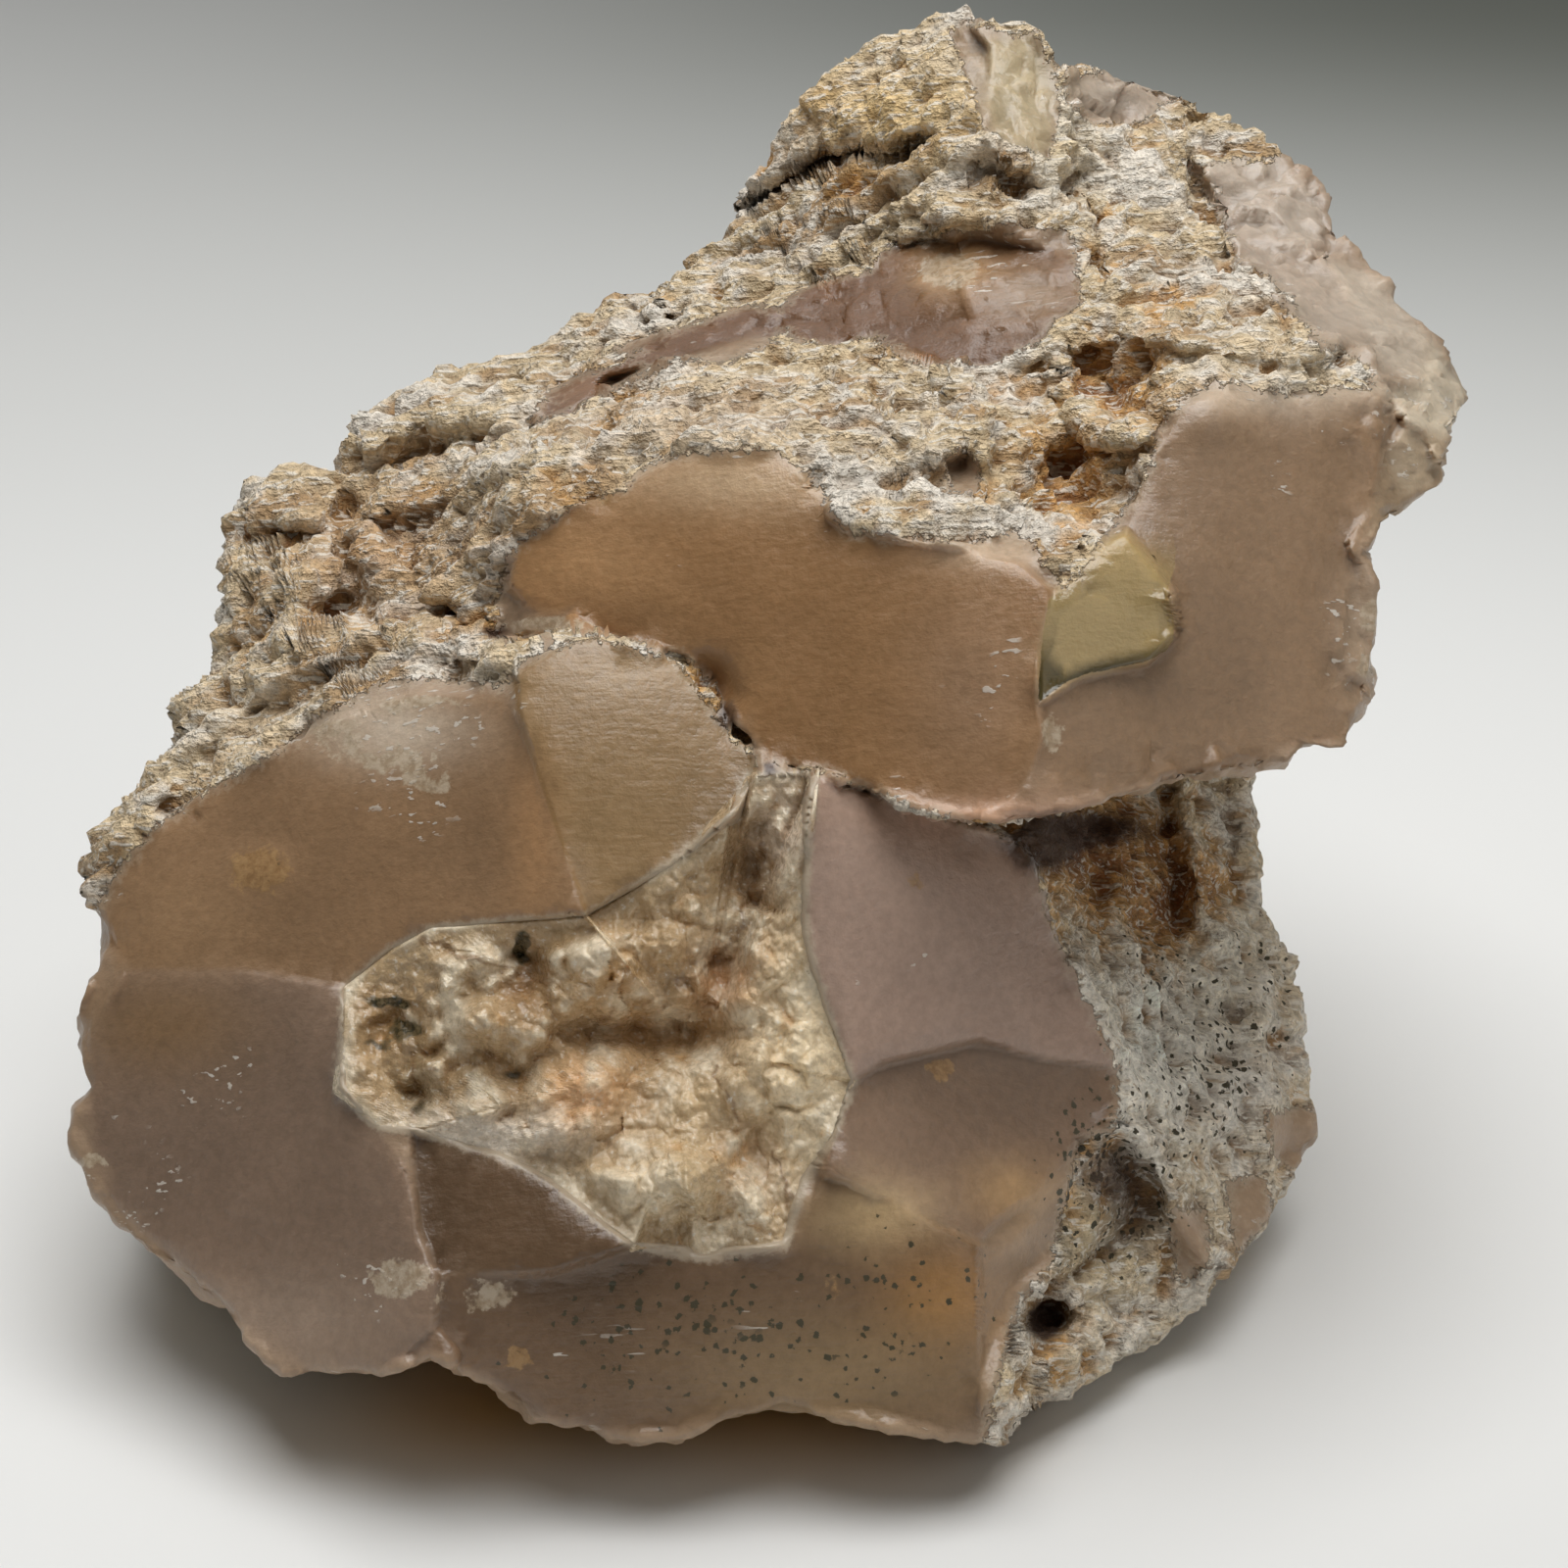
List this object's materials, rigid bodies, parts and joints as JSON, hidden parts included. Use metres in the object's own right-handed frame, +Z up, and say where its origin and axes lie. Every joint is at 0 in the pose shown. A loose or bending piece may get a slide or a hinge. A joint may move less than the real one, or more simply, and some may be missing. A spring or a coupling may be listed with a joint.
{
  "type": "petrified wood limb cast",
  "caption": "Agatised limb cast: a lumpy lilac-brown chalcedony stone with a rough pale rind, a fresh broken face and a hollow filled with white quartz.",
  "frame": {"origin": "on the table under the middle of the stone's bounding box", "axes": "+Z up, the broken face looks towards -Y and slightly up, +X to the right of someone who looks at that face"},
  "size_m": [0.135, 0.1102, 0.1114],
  "materials": {
    "chalcedony_and_rind": "waxy lilac-brown chalcedony on the breaks, dull granular cream rind elsewhere",
    "quartz": "milky white crystalline quartz, glassy on its crystal faces, stained yellow-brown in the vugs"
  },
  "bodies": {
    "root": {"limb_cast": "chalcedony_and_rind", "quartz_crust": "quartz"}
  },
  "joints": []
}
